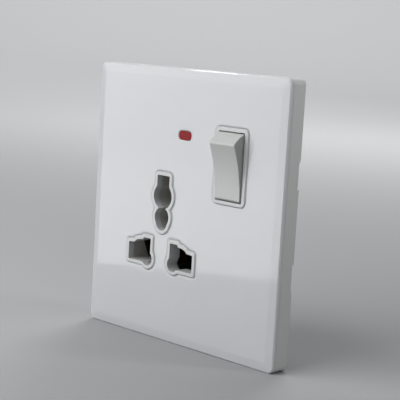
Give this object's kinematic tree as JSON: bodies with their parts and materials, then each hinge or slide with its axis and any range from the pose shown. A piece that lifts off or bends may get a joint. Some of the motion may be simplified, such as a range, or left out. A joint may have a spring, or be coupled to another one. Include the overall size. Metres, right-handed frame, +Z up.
{
  "type": "switched socket",
  "caption": "Switched wall socket with raised apertures for several pin patterns, a rocker switch and a neon window in a bevelled gloss plate.",
  "frame": {"origin": "centre of the plate's back plane, which lies on the wall, midway between the fixing slots", "axes": "+X to the right as seen from the front, +Z up the plate, +Y into the wall"},
  "size_m": [0.086, 0.0291, 0.09],
  "materials": {
    "panel_white": "high gloss",
    "carrier_white": "satin",
    "moulding_white": "satin",
    "guide_grey": "matt",
    "frame_plastic": "matt",
    "rocker_white": "satin",
    "neon_red": "gloss, tinted",
    "lamp_glass": "clear",
    "resistor_body": "lacquered",
    "lead_wire": "tinned",
    "contact_brass": "rolled strip",
    "terminal_brass": "machined",
    "rivet_silver": "satin",
    "spring_steel": "satin",
    "plated_steel": "zinc plated",
    "housing_black": "matt",
    "plunger_plastic": "matt"
  },
  "bodies": {
    "fixed": {"front_panel": "panel_white", "cover_frame": "carrier_white", "mounting_frame": "frame_plastic", "slot_plates": "plated_steel", "socket_body": "moulding_white", "guide_plate": "guide_grey", "neon_lens": "neon_red", "neon_lamp": "lamp_glass", "dropper_resistor": "resistor_body", "neon_leads": "lead_wire", "common_bracket": "contact_brass", "fixed_contact": "contact_brass", "fixed_rivet": "rivet_silver", "live_contact": "contact_brass", "neutral_contact": "contact_brass", "earth_contact": "contact_brass", "spring_clips": "spring_steel", "live_terminal": "terminal_brass", "neutral_terminal": "terminal_brass", "earth_terminal": "terminal_brass", "terminal_screws": "plated_steel", "assembly_screws": "plated_steel", "rear_housing": "housing_black"},
    "rocker": {"rocker": "rocker_white", "plunger": "plunger_plastic", "plunger_spring": "spring_steel"},
    "seesaw": {"moving_contact": "contact_brass", "moving_rivet": "rivet_silver"}
  },
  "joints": [
    {"name": "rocker_hinge", "type": "hinge", "parent": "fixed", "child": "rocker", "pos_m": [0.02085, -0.0029, 0.01615], "axis": [1, 0, 0], "range_deg": [-24.8, 0]},
    {"name": "contact_hinge", "type": "hinge", "parent": "fixed", "child": "seesaw", "pos_m": [0.02085, 0.00605, 0.01615], "axis": [1, 0, 0], "range_deg": [0, 12]}
  ],
  "couplings": [
    {"joint": "contact_hinge", "follows": "rocker_hinge", "ratio": -0.4839}
  ]
}
